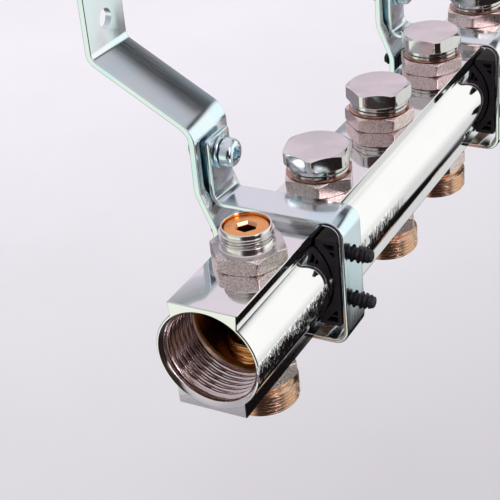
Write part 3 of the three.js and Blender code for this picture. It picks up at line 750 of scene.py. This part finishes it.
def outlet_shape(i):
    """An outlet: over its stub in the bar, down its hexagon and thread, and up its bore."""
    corner = OUTLET_CORNER[i]
    lo, hi = box_mm(f"outlet_nipple_{i}")
    top, bottom = hi.z, lo.z
    shape = Profile(hex_angles(corner))
    shape.add_rows(BRASS, (6.5, top - 0.3), (6.8, top), (8.7, top), (9.2, top - 0.4))
    shape.add_thread(BRASS, 24, top - 0.4, STUB_END, 8.75, 9.25, 1.0, 0.6)
    shape.add_rows(TURNED, (9.2, -15.85), (8.2, -15.95), (8.2, -17.7), (9.2, -17.8))
    shape.add(9.2, OUTLET_HEX[0], MACHINED)
    shape.add_rings(GRAINED, hex_rings(shape.angles, HEX_FLATS, corner, *OUTLET_HEX,
                                       HEX_FACE_R, HEX_CORNER_R))
    shape.add_rows(TURNED, (10.4, -24.0), (10.2, -24.15), (10.2, -25.0))
    first, last, steps, entry_steps = -25.05, bottom + 0.4, 112, 6
    for k in range(steps + 1):
        z = first + (last - first) * k / steps
        root = 11.45 - max(0.0, 1 - k / entry_steps) * 1.1
        r = thread_radius(shape.angles, z, root, 12.15, 1.25, last, first - 0.1, 0.6)
        shape.add(r, z, TURNED)
    shape.add_rows(TURNED, (10.9, bottom + 0.08), (10.7, bottom), (9.4, bottom),
                   (9.2, bottom + 0.1), (6.5, bottom + 5.5))
    return shape.loft()


# the turned metals of a circuit: light and dark colour, range of roughness, pitch and depth of
# the turning marks in millimetres, and how far they draw highlights out
CIRCUIT_METALS = {
    "neck_nickel": (rgb(0.84, 0.84, 0.79), rgb(0.74, 0.70, 0.67),
                    (0.13, 0.2), 0.3, 0.0015, 0.5),
    "machined_nickel": (rgb(0.74, 0.69, 0.69), rgb(0.58, 0.52, 0.52),
                        (0.22, 0.36), 0.22, 0.008, 0.0),
    "outlet_copper": (rgb(0.96, 0.70, 0.60), rgb(0.86, 0.62, 0.36),
                      (0.18, 0.27), 0.3, 0.003, 0.7),
    "stub_brass": (rgb(1.0, 0.62, 0.25), rgb(0.92, 0.48, 0.16),
                   (0.22, 0.36), 0.3, 0.004, 0.0),
    "spindle_brass": (rgb(0.96, 0.48, 0.19), rgb(0.84, 0.37, 0.12),
                      (0.20, 0.32), 0.2, 0.004, 0.7),
    # the socket's brass is painted near black: painted shade for the recess
    "socket_brass_painted_shade": (rgb(0.30, 0.09, 0.04), rgb(0.17, 0.05, 0.02),
                     (0.25, 0.4), 0.3, 0.004, 0.0),
    "countersink_brass": (rgb(0.86, 0.54, 0.32), rgb(0.66, 0.36, 0.18),
                          (0.14, 0.24), 0.3, 0.002, 0.0),
    "well_brass": (rgb(1.0, 0.60, 0.24), rgb(0.90, 0.45, 0.14),
                   (0.12, 0.2), 0.3, 0.003, 0.0),
}
CAP_METALS = {
    "cap_nickel": (rgb(0.84, 0.82, 0.79), rgb(0.72, 0.70, 0.68),
                   (0.08, 0.16), 0.5, 0.003, 0.0),
    "cap_face": (rgb(0.86, 0.79, 0.79), rgb(0.78, 0.71, 0.71),
                 (0.28, 0.36), 0.2, 0.004, 0.75),
    "collar_brass": (rgb(0.60, 0.33, 0.25), rgb(0.42, 0.21, 0.15),
                     (0.14, 0.22), 0.4, 0.002, 0.7),
}


def metals_about(i, x, table):
    """The metals of a table, with their turning marks about the axis of circuit i at x."""
    centre = tuple(AXIS + Vector((x * MM, 0, 0)))
    return [turned_metal(f"{name}_{i}", centre, *look) for name, look in table.items()]


for i, x in zip(CIRCUITS, CIRCUIT_X):
    neck, machined, copper, stub, head, socket, sink, well = metals_about(i, x, CIRCUIT_METALS)
    at = (x, 0, 0)
    piece(f"insert_{i}", insert_shape(i), f"valve_insert_{i}", [BLASTED, neck, machined, well], at)
    piece(f"top_o_ring_{i}", torus(7.75, 0.48, O_RING_Z), f"insert_seal_{i}", [RUBBER], at)
    piece(f"stem_{i}", spindle_shape(i), f"spindle_{i}", [head, socket, sink], at)
    piece(f"washer_disc_{i}", disc_shape(i), f"valve_disc_{i}", [RUBBER], at)
    piece(f"outlet_{i}", outlet_shape(i), f"outlet_nipple_{i}", [BLASTED, copper, machined, stub],
          at)
    piece(f"bottom_o_ring_{i}", torus(8.75, 0.48, -O_RING_Z), f"outlet_seal_{i}", [RUBBER], at)
    if f"cap_{i}" in BODY_OF:
        side, face, flare = metals_about(i, x, CAP_METALS)
        piece(f"closing_cap_{i}", cap_shape(i), f"cap_{i}", [side, face], at)
        piece(f"collar_{i}", collar_shape(i), f"cap_collar_{i}", [flare, side], at)

# ------------------------------------------------
# Brackets. Outlines are (y, z) about the bar's axis, with Y towards the wall.
# ------------------------------------------------

ARM_T, STRAP_T = 2.2, 1.6
ARM_W, STRAP_W = 21.0, 13.2
ROLLED_EDGE = 0.35
WALL_Y = -AXIS.y / MM
FOOT_MID = -AXIS.z / MM
FOOT_Y = WALL_Y - ARM_T / 2
WALL_HOLE_R, WALL_HOLE_RISE = 3.3, 15.0
ARM_Y, ARM_LOW_Y, ELBOW_Z = 26.8, 21.6, 47.4
SLOPE = math.tan(DEG(30.7))
TAB_Y, OVER_Z, FRONT_Y, UNDER_Z, HOOK_Y = 23.7, 21.3, -20.7, -21.9, 23.9

SCREW_Z, SCREW_HOLE_R = 37.3, 3.1
SCREW_HEAD_Y, WASHER_Y, NUT_Y = 21.3, 22.6, 28.2
PEG_Z, PEG_HOLE_R = 8.5, 2.9

CHEEK_W, CHEEK_HOLLOW_R, CHEEK_BLOCK_Y = 13.6, 17.65, 11.9
CHEEK_GAP = 0.3
FRONT_CHEEK_Z, REAR_CHEEK_Z = 15.5, 12.5
# a peg's radius and its distance past the cheek
PEG_PROFILE = [(2.1, -1.2), (2.1, 3.0), (1.75, 3.3), (1.75, 3.6), (2.75, 4.0), (2.8, 4.2),
               (1.8, 4.9), (1.75, 5.15), (2.6, 5.55), (2.65, 5.75), (1.75, 6.4), (1.7, 6.6),
               (2.3, 6.95), (2.3, 7.2), (1.9, 7.8), (1.85, 8.35), (1.6, 8.55)]
PEG_SMOOTH_TO = 3.2


def strip_path(corners):
    """Points and headings (y, z) along a bent strip's middle line."""
    points = []
    pts = [Vector((c[0], c[1])) for c in corners]
    for k, here in enumerate(pts):
        back = (pts[k - 1] - here).normalized() if k > 0 else None
        ahead = (pts[k + 1] - here).normalized() if k < len(pts) - 1 else None
        if back is None or ahead is None:
            points.append((here, ahead if back is None else -back))
            continue
        bend = math.acos(max(-1, min(1, -back.dot(ahead))))
        radius = corners[k][2]
        centre = here + (back + ahead).normalized() * (radius / math.cos(bend / 2))
        start = here + back * (radius * math.tan(bend / 2))
        cross = (-back).x * ahead.y - (-back).y * ahead.x
        way = 1 if cross > 0 else -1
        steps = max(3, math.ceil(bend / DEG(5)))
        for j in range(steps + 1):
            turn = Matrix.Rotation(way * bend * j / steps, 2)
            points.append((centre + turn @ (start - centre), turn @ (-back)))
    return points


def rounded_rect(half_w, half_t, r):
    """Corner-rounded section across a strip: (along X, along the strip's normal)."""
    steps = 4
    out = []
    for cx, cy, a0 in ((half_w - r, half_t - r, 0), (-half_w + r, half_t - r, 90),
                       (-half_w + r, -half_t + r, 180), (half_w - r, -half_t + r, 270)):
        for j in range(steps + 1):
            t = DEG(a0 + 90 * j / steps)
            out.append((cx + r * math.cos(t), cy + r * math.sin(t)))
    return out


def quarter_round(r, d):
    """How far a quarter round of radius r still is from full width, at distance d from its end."""
    return r - math.sqrt(max(0.0, r * r - (r - d) ** 2)) if d < r else 0.0


def strip_stations(path, end_round):
    """The strip's length, and (distance, point, heading) rows along it, closer near its ends."""
    total = [0.0]
    for (p, _), (q, _) in zip(path, path[1:]):
        total.append(total[-1] + (q - p).length)
    length = total[-1]
    stations = [(s, p, h) for s, (p, h) in zip(total, path)]
    extra = [ROLLED_EDGE, length - ROLLED_EDGE]
    for t in np.linspace(0, 1, 9)[1:]:
        extra += [end_round[0] * t, length - end_round[1] * t]
    for s in extra:
        k = max(j for j in range(len(total)) if total[j] <= s + 1e-9)
        k = min(k, len(total) - 2)
        t = (s - total[k]) / max(1e-9, total[k + 1] - total[k])
        stations.append((s, path[k][0].lerp(path[k + 1][0], t), path[k][1]))
    return length, sorted(stations, key=lambda row: row[0])


def strip_shape(corners, width, thickness, end_round):
    """A pressed strip with rolled edges; end_round rounds the plan corners of its two ends."""
    length, stations = strip_stations(strip_path(corners), end_round)
    rings = []
    for s, p, h in stations:
        narrow = max(quarter_round(end_round[0], s), quarter_round(end_round[1], length - s))
        thin = quarter_round(ROLLED_EDGE, min(s, length - s))
        normal = Vector((-h.y, h.x))
        section = rounded_rect(width / 2 - narrow - thin * 0.6, thickness / 2 - thin * 0.8,
                               ROLLED_EDGE - thin * 0.5)
        rings.append(np.array([(x, p.x + normal.x * t, p.y + normal.y * t) for x, t in section]))
    return loft(rings, closed=False)


def hole_y(radius, y0, y1, z):
    """A cutter along Y at height z."""
    a = round_angles(40)
    rings = [np.column_stack([radius * np.cos(a), np.full(len(a), y), z + radius * np.sin(a)])
             for y in (y0, y1)]
    return loft(rings, closed=False)


def peg_holes(y):
    return [hole_y(PEG_HOLE_R, y - 3, y + 3, z) for z in (PEG_Z, -PEG_Z)]


def arm_mesh():
    """The cranked arm: wall foot, slope, and the lower part behind the bar."""
    lo, hi = box_mm("bracket_arm_near")
    shape = strip_shape([
        (FOOT_Y, hi.z), (FOOT_Y, ELBOW_Z + (FOOT_Y - ARM_Y) * SLOPE, 4),
        (ARM_Y, ELBOW_Z, 7), (ARM_Y, 26.5, 8), (ARM_LOW_Y, 13.5, 8), (ARM_LOW_Y, lo.z),
    ], ARM_W, ARM_T, end_round=(2.5, 1.5))
    wall_holes = [hole_y(WALL_HOLE_R, WALL_Y - 5, WALL_Y + 3, FOOT_MID + rise)
                  for rise in (WALL_HOLE_RISE, -WALL_HOLE_RISE)]
    screw_hole = hole_y(SCREW_HOLE_R, ARM_Y - 3, ARM_Y + 3, SCREW_Z)
    return boolean(raw_mesh("arm", shape), joined(*wall_holes, screw_hole, *peg_holes(ARM_LOW_Y)))


def strap_mesh():
    """The strap: tab, top, front, underside and hook."""
    lo, hi = box_mm("clamp_strap_near")
    shape = strip_shape([
        (TAB_Y, hi.z), (TAB_Y, OVER_Z, 4), (FRONT_Y, OVER_Z, 4.5), (FRONT_Y, UNDER_Z, 4.5),
        (HOOK_Y, UNDER_Z, 2), (HOOK_Y, -14.5),
    ], STRAP_W, STRAP_T, end_round=(1.6, 1.0))
    screw_hole = hole_y(SCREW_HOLE_R, TAB_Y - 3, TAB_Y + 3, SCREW_Z)
    return boolean(raw_mesh("strap", shape), joined(screw_hole, *peg_holes(FRONT_Y)))


def prism_x(outline, width):
    """A (y, z) outline extruded along X about x = 0."""
    pts = np.array(outline)
    rings = [np.column_stack([np.full(len(pts), x), pts]) for x in (-width / 2, width / 2)]
    return loft(rings, closed=False)


def cheek_outline(outer, reach):
    """A cheek's (y, z) outline: flat outside, hollow for the tube, up to reach above and below."""
    hollow_z = min(reach, math.sqrt(CHEEK_HOLLOW_R ** 2 - CHEEK_BLOCK_Y ** 2))
    sweep = math.asin(hollow_z / CHEEK_HOLLOW_R)
    arc = [(CHEEK_HOLLOW_R * math.cos(t), CHEEK_HOLLOW_R * math.sin(t))
           for t in np.linspace(sweep, -sweep, 26)]
    outline = [(outer, -reach + 0.8), (outer, reach - 0.8), (outer - 0.3, reach - 0.2),
               (outer - 0.9, reach)]
    past_block = reach > hollow_z
    if past_block:
        outline.append((CHEEK_BLOCK_Y, reach))
    outline += arc
    if past_block:
        outline.append((CHEEK_BLOCK_Y, -reach))
    return outline + [(outer - 0.9, -reach), (outer - 0.3, -reach + 0.2)]


def cheek_windows(outer, reach, way):
    """Cutters for the two windows at one end of a cheek. way is 1 at the top, -1 at the bottom."""
    z0 = way * (reach - 1.3)
    cutters = []
    for near, far in ((0.0, 1.9), (2.5, 4.3)):
        near_w, far_w = (3.7 * (1 - d / 4.6) + 0.4 for d in (near, far))
        z_near, z_far = z0 - way * near, z0 - way * far
        cutters.append(prism_x([(outer - 1.3, z_near), (outer - 1.3, z_far),
                                (outer - 1.3 - far_w, z_far), (outer - 1.3 - near_w, z_near)], 20))
    return cutters


def peg_shape(outer, z):
    """A barbed peg whose barbs came ragged out of the mould."""
    a = round_angles(28)
    rings = []
    for k, (r, d) in enumerate(PEG_PROFILE):
        ragged = r * (1 + 0.05 * np.sin(5 * a + 2.3 * k + z) + 0.04 * np.sin(9 * a + 1.1 * k))
        radius = ragged if d > PEG_SMOOTH_TO else np.full(a.shape, r)
        rings.append(np.column_stack([radius * np.cos(a), np.full(len(a), outer + d),
                                      z + radius * np.sin(a)]))
    return loft(rings, closed=False)


def cheek_mesh(outer, reach, window_ends):
    """A rubber cheek on the wall side of the bar, with its windows and two pegs."""
    me = raw_mesh("cheek", prism_x(cheek_outline(outer, reach), CHEEK_W))
    windows = [cutter for way in window_ends for cutter in cheek_windows(outer, reach, way)]
    me = boolean(me, joined(*windows))
    return boolean(me, joined(peg_shape(outer, PEG_Z), peg_shape(outer, -PEG_Z)), "UNION")


def on_screw_axis(shape, y):
    """A shape about +Z turned to point at the room, with its foot at depth y."""
    v, f, m = shape
    return np.column_stack([v[:, 0], y - v[:, 2], v[:, 1] + SCREW_Z]), f, m


def recess_bar(turn):
    """One bar of the screw's cross recess, narrower at its bottom."""
    c, s = math.cos(DEG(turn)), math.sin(DEG(turn))
    half, side = 3.3, 0.675
    rings = []
    for z, u, v in ((2.2, half * 0.45, side * 0.55), (5.0, half, side)):
        corners = ((-u, -v), (u, -v), (u, v), (-u, v))
        rings.append(np.array([(x * c - y * s, x * s + y * c, z) for x, y in corners]))
    return on_screw_axis(loft(rings, closed=False), SCREW_HEAD_Y)


def screw_mesh():
    """The clamp screw: its thread and its pan head, from tip to crown."""
    shape = Profile(round_angles(72))
    shape.add_rows(0, (2.2, -12.2), (2.45, -11.9))
    for k in range(60):
        z = -11.8 + 11.4 * k / 60
        shape.add(thread_radius(shape.angles, z, 2.15, 2.5, 0.8, -12.0, 0.2, 0.5), z, 0)
    shape.add_rows(0, (2.5, -0.1), (4.4, 0.0), (4.64, 0.2), (4.69, 0.6), (4.66, 2.2), (4.55, 2.9),
                   (4.25, 3.5), (3.7, 4.0), (2.9, 4.3), (1.9, 4.45), (1.0, 4.49))
    me = raw_mesh("screw", on_screw_axis(shape.loft(closed=False), SCREW_HEAD_Y))
    for turn in (25, 115):
        me = boolean(me, recess_bar(turn))
    return me


def washer_shape():
    rows = [(2.9, 0.05), (2.95, 0.0), (5.2, 0.0), (5.38, 0.12), (5.4, 0.3), (5.38, 0.85),
            (5.25, 1.0), (2.95, 1.0), (2.9, 0.95)]
    return on_screw_axis(turned(round_angles(72), rows), WASHER_Y)


def nut_shape():
    shape = Profile(hex_angles(0.0, 12))
    shape.add(2.8, 0.0, 0)
    shape.add_rings(0, hex_rings(shape.angles, 8.0, 0.0, 0.0, -4.0, 3.85, 4.55, steps=5))
    shape.add(2.8, -4.0, 0)
    return on_screw_axis(shape.loft(), NUT_Y)


front_cheek = cheek_mesh(-FRONT_Y - STRAP_T / 2 - CHEEK_GAP, FRONT_CHEEK_Z, (1, -1))
front_cheek.transform(Matrix.Rotation(math.pi, 4, "Z"))
rear_cheek = cheek_mesh(ARM_LOW_Y - ARM_T / 2 - CHEEK_GAP, REAR_CHEEK_Z, (1,))
# piece, CAD node, mesh, material, and the angle from which an edge is sharp
BRACKET_PIECES = [
    ("arm", "bracket_arm", arm_mesh(), ZINC, 40),
    ("strap", "clamp_strap", strap_mesh(), ZINC, 40),
    ("front_rubber", "front_cheek", front_cheek, RUBBER, 35),
    ("rear_rubber", "rear_cheek", rear_cheek, RUBBER, 35),
    ("pan_screw", "clamp_screw", screw_mesh(), NUT_ZINC, 35),
    ("flat_washer", "clamp_washer", raw_mesh("washer", washer_shape()), NUT_ZINC, 35),
    ("hex_nut", "clamp_nut", raw_mesh("nut", nut_shape()), NUT_ZINC, 32),
]
for side in SIDES:
    at = (BRACKET_X[side], 0, 0)
    for name, node, mesh, material, angle in BRACKET_PIECES:
        finish_piece(f"{name}_{side}", mesh.copy(), f"{node}_{side}", [material], at, angle)

# ------------------------------------------------
# Floor: a wide pale sheet well below the part, with painted shade that makes it lighter farther
# away
# ------------------------------------------------

FLOOR_HALF, FLOOR_DROP = 6.0, 0.20
drop = cad_lo.z - FLOOR_DROP
floor_mesh = bpy.data.meshes.new("floor")
floor_corners = [(x * FLOOR_HALF, y * FLOOR_HALF, drop)
                 for x, y in ((-1, -1), (1, -1), (1, 1), (-1, 1))]
floor_mesh.from_pydata(floor_corners, [], [(0, 1, 2, 3)])
floor = bpy.data.objects.new("floor", floor_mesh)
bpy.context.scene.collection.objects.link(floor)
floor_material, fn, floor_bsdf = shader("pale_floor", metallic=0.0)
floor_bsdf.inputs["Roughness"].default_value = 0.9
floor_place = fn.add("ShaderNodeSeparateXYZ")
fn.link(fn.coords(centre=tuple(AXIS)), floor_place.inputs[0])
mottle = fn.noise(fn.coords(), 0.012, 3)
tone = fn.mix(mottle, rgb(0.97, 0.97, 0.985), rgb(1.03, 1.03, 1.045))
# painted shade: the floor's colour is darker nearer the camera and lighter farther away
away = fn.math("ADD", floor_place.outputs[0], floor_place.outputs[1])
painted_floor_shade = fn.remap(away, 250.0, 1200.0, 0.57, 0.80)
fn.link(fn.mix(1.0, tone, painted_floor_shade, "MULTIPLY"), floor_bsdf.inputs["Base Color"])
floor_mesh.materials.append(floor_material)
floor.visible_glossy = False

# ------------------------------------------------
# Studio light: a world of soft boxes and dark flags, and one broad light from above
# ------------------------------------------------

world = bpy.data.worlds.new("studio")
bpy.context.scene.world = world
world.use_nodes = True
w = Nodes(world.node_tree)
toward = w.split(w.add("ShaderNodeTexCoord").outputs["Generated"])
elevation = w.math("DEGREES", w.math("ARCSINE", toward[2]))
azimuth = w.math("DEGREES", w.math("ARCTAN2", toward[1], toward[0]))


def window(value, lo, hi, soft_lo, soft_hi):
    """1 between lo and hi, 0 outside, with a soft change at each."""
    a = w.remap(value, lo - soft_lo, lo + soft_lo, 0.0, 1.0, "SMOOTHSTEP")
    b = w.remap(value, hi - soft_hi, hi + soft_hi, 1.0, 0.0, "SMOOTHSTEP")
    return w.math("MULTIPLY", a, b)


def patch(colour, az, el, tint, soft_az, soft_el):
    """The world's colour with a tinted patch laid over it, between two azimuths and elevations."""
    mask = w.math("MULTIPLY", window(azimuth, az[0], az[1], *soft_az),
                  window(elevation, el[0], el[1], *soft_el))
    return w.mix(mask, colour, tint)


# the room: dark below, grey at the horizon, light above
ramp = w.add("ShaderNodeValToRGB")
w.link(w.remap(elevation, -90.0, 90.0, 0.0, 1.0), ramp.inputs[0])
stops = [(0.0, 0.05), (0.25, 0.03), (0.33, 0.10), (0.40, 0.34), (0.5, 0.52), (0.62, 0.50),
         (0.75, 0.62), (1.0, 0.9)]
while len(ramp.color_ramp.elements) < len(stops):
    ramp.color_ramp.elements.new(0.5)
for element, (at, value) in zip(ramp.color_ramp.elements, stops):
    element.position = at
    element.color = (value * 0.98, value * 0.94, value * 1.02, 1)
sky = ramp.outputs[0]
# what the metal mirrors: azimuths, elevations, colour, and the softness of each pair of edges
PATCHES = [
    # the lavender wall that the flat tops mirror
    ((2, 75), (12, 60), rgb(0.84, 0.77, 0.86), (8, 12), (8, 10)),
    # dark flag above the front soft box
    ((-50, -8), (27.5, 37), rgb(0.05, 0.045, 0.06), (5, 6), (2, 3)),
    # front soft box, brightest in its middle
    ((-85, -12), (-33, 26.5), rgb(0.76, 0.78, 0.78), (6, 6), (1.0, 1.4)),
    ((-80, -16), (-19, 25), rgb(1.15, 1.17, 1.155), (8, 5), (9, 6)),
    # black table edge under the front soft box
    ((-85, 9), (-80, -33.6), rgb(0.008, 0.006, 0.006), (5, 3), (2, 1.0)),
    # pale floor behind the bar, and the bright card behind the camera
    ((12, 95), (-62, -12), rgb(0.30, 0.27, 0.31), (4, 12), (8, 8)),
    ((118, 180), (-36.5, -6), rgb(0.98, 1.06, 0.93), (10, 1), (0.4, 8)),
    ((118, 180), (-70, -36.5), rgb(0.40, 0.365, 0.43), (10, 1), (8, 0.4)),
    ((118, 147.4), (-60, -35.8), rgb(0.40, 0.365, 0.43), (10, 0.8), (8, 0.3)),
    # dark room behind the camera, with one narrow pink-white lamp in it
    ((-174, -90), (-60, 0), rgb(0.02, 0.015, 0.015), (6, 4), (6, 10)),
    ((-170, -122), (-20, 36), rgb(0.04, 0.025, 0.025), (8, 4), (6, 8)),
    ((-115, -101), (-2, 20), rgb(2.2, 1.9, 2.0), (4, 6), (8, 6)),
    ((-115, -101), (16, 46), rgb(4.8, 4.1, 4.4), (4, 5), (6, 8)),
    # a second dark flag, over the wall, that the bracket's slope mirrors
    ((-16, 10), (30, 40.5), rgb(0.05, 0.045, 0.045), (5, 5), (3, 2.5)),
]
for az, el, tint, soft_az, soft_el in PATCHES:
    sky = patch(sky, az, el, tint, soft_az, soft_el)
light_path = w.add("ShaderNodeLightPath")
seen = w.mix(light_path.outputs["Is Camera Ray"], sky, rgb(0.80, 0.78, 0.84))
background = w.add("ShaderNodeBackground")
w.link(seen, background.inputs[0])
background.inputs[1].default_value = 1.0
world_out = w.add("ShaderNodeOutputWorld")
w.link(background.outputs[0], world_out.inputs[0])


def area(name, place, target, size, power, colour):
    """A broad soft light that no mirror shows."""
    data = bpy.data.lights.new(name, "AREA")
    data.shape = "RECTANGLE"
    data.size, data.size_y = size
    data.energy = power
    data.color = colour
    light = bpy.data.objects.new(name, data)
    bpy.context.scene.collection.objects.link(light)
    light.location = place
    light.rotation_euler = (Vector(target) - Vector(place)).to_track_quat("-Z", "Y").to_euler()
    light.visible_glossy = False
    light.visible_camera = False


middle = Vector((cad_lo + cad_hi) / 2)
area("overhead", middle + Vector((-0.3, 0.2, 1.5)), middle, (2.2, 2.2), 26, (1.0, 0.985, 1.0))

# ------------------------------------------------
# Camera
# ------------------------------------------------


def camera_at(place, azimuth_deg, down_deg, roll_deg, lens):
    """A camera that looks along an azimuth (from +Y towards +X) and down, then rolls."""
    az, dn, roll = DEG(azimuth_deg), DEG(down_deg), DEG(roll_deg)
    look = Vector((math.sin(az) * math.cos(dn), math.cos(az) * math.cos(dn), -math.sin(dn)))
    right = Vector((math.cos(az), -math.sin(az), 0))
    up = right.cross(look)
    right2 = right * math.cos(roll) + up * math.sin(roll)
    up2 = up * math.cos(roll) - right * math.sin(roll)
    rotation = Matrix((right2, up2, -look)).transposed()
    data = bpy.data.cameras.new("camera")
    data.lens = lens
    data.sensor_width = 36.0
    data.clip_start = 0.01
    data.clip_end = 50
    cam = bpy.data.objects.new("camera", data)
    cam.matrix_world = Matrix.Translation(place) @ rotation.to_4x4()
    bpy.context.scene.collection.objects.link(cam)
    bpy.context.scene.camera = cam


camera_at(AXIS + Vector((-284.0, -185.6, 235.6)) * MM, azimuth_deg=59.488, down_deg=30.494,
          roll_deg=-5.593, lens=101.28)

scene = bpy.context.scene
scene.view_settings.view_transform = "Standard"
scene.view_settings.look = "None"
scene.view_settings.exposure = 0.0
scene.view_settings.gamma = 1.0
scene.cycles.max_bounces = 10
scene.cycles.glossy_bounces = 8
